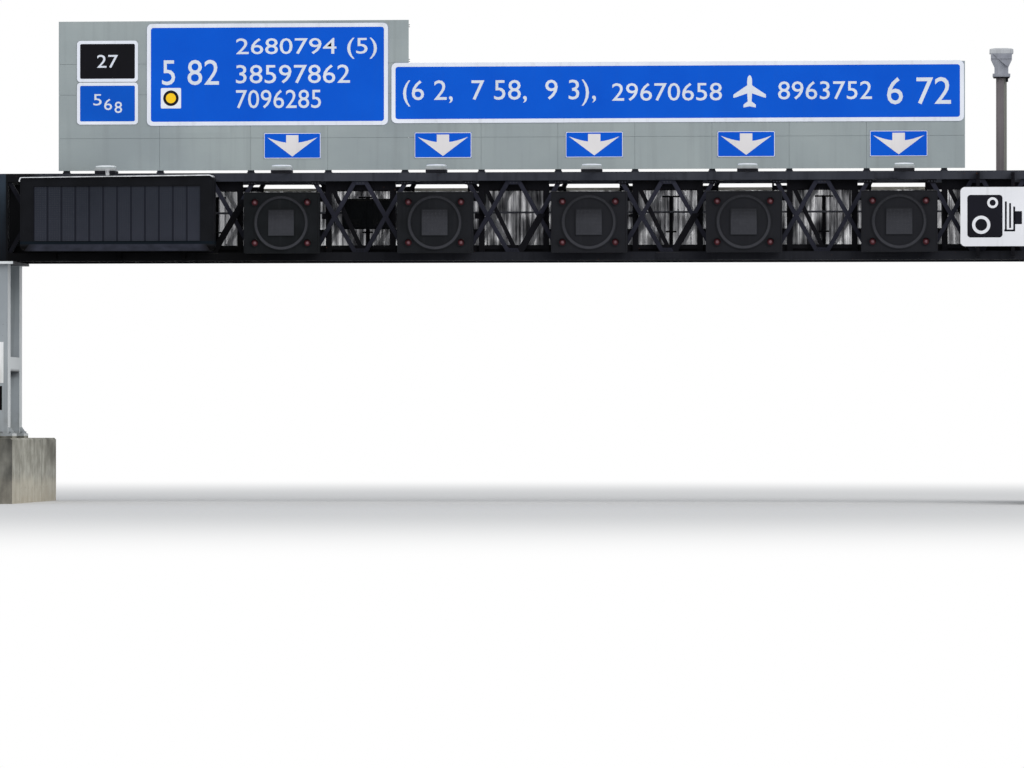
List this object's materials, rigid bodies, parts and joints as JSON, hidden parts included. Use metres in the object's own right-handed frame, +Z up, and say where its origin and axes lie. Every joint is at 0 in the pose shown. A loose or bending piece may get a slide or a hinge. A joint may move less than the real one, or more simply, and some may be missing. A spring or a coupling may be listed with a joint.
{
  "type": "overhead sign gantry",
  "caption": "Two-legged portal of steel lattice across a carriageway, which carries direction signs, a message sign, lane signals and a walkway.",
  "frame": {"origin": "on the ground, midway between the two legs and midway between their columns", "axes": "+X across the road to the right as traffic sees it, +Y with the traffic, +Z up"},
  "size_m": [27.26, 6.6, 11.455],
  "materials": {
    "concrete": "cast, streaked by its forms",
    "leg_grey": "satin, weathered",
    "beam_dark": "matt, sooty",
    "galvanised": "dull zinc",
    "grating": "dull zinc, dirty",
    "sign_grey": "satin sheet",
    "sign_blue": "reflective sheeting",
    "sign_black": "reflective sheeting",
    "sign_white": "reflective sheeting",
    "signal_black": "matt",
    "display": "clear screen over dark modules",
    "hood": "mill",
    "light_body": "satin",
    "light_glass": "frosted",
    "mast_brown": "satin, weathered",
    "head_grey": "satin"
  },
  "bodies": {
    "root": {"left_plinth": "concrete", "right_plinth": "concrete", "leg_columns": "leg_grey", "leg_webs": "leg_grey", "leg_base_plates": "leg_grey", "leg_caps": "leg_grey", "left_end_frame": "beam_dark", "right_end_frame": "beam_dark", "front_top_chord": "beam_dark", "front_bottom_chord": "beam_dark", "rear_top_chord": "beam_dark", "rear_bottom_chord": "beam_dark", "front_lattice": "beam_dark", "rear_lattice": "beam_dark", "top_bracing": "beam_dark", "floor_bearers": "beam_dark", "walkway_floor": "grating", "toe_boards": "beam_dark", "hand_rail": "beam_dark", "rear_screen": "galvanised", "bay_frames": "beam_dark", "signal_rails": "beam_dark", "sign_brackets": "beam_dark", "sign_posts": "beam_dark", "sign_rails": "galvanised", "tall_sign_board": "sign_grey", "long_sign_board": "sign_grey", "exit_panel": "sign_blue", "through_panel": "sign_blue", "small_plates": "sign_black", "lane_arrow_plates": "sign_blue", "message_sign_housing": "signal_black", "message_sign_window": "display", "message_sign_hood": "hood", "camera_sign": "sign_white", "lane_signal_1": "signal_black", "lane_signal_2": "signal_black", "lane_signal_3": "signal_black", "lane_signal_4": "signal_black", "lane_signal_5": "signal_black", "sign_light_arms": "light_body", "sign_lights": "light_glass", "mast": "mast_brown", "mast_head": "head_grey", "equipment_cabinet": "signal_black"}
  },
  "joints": []
}
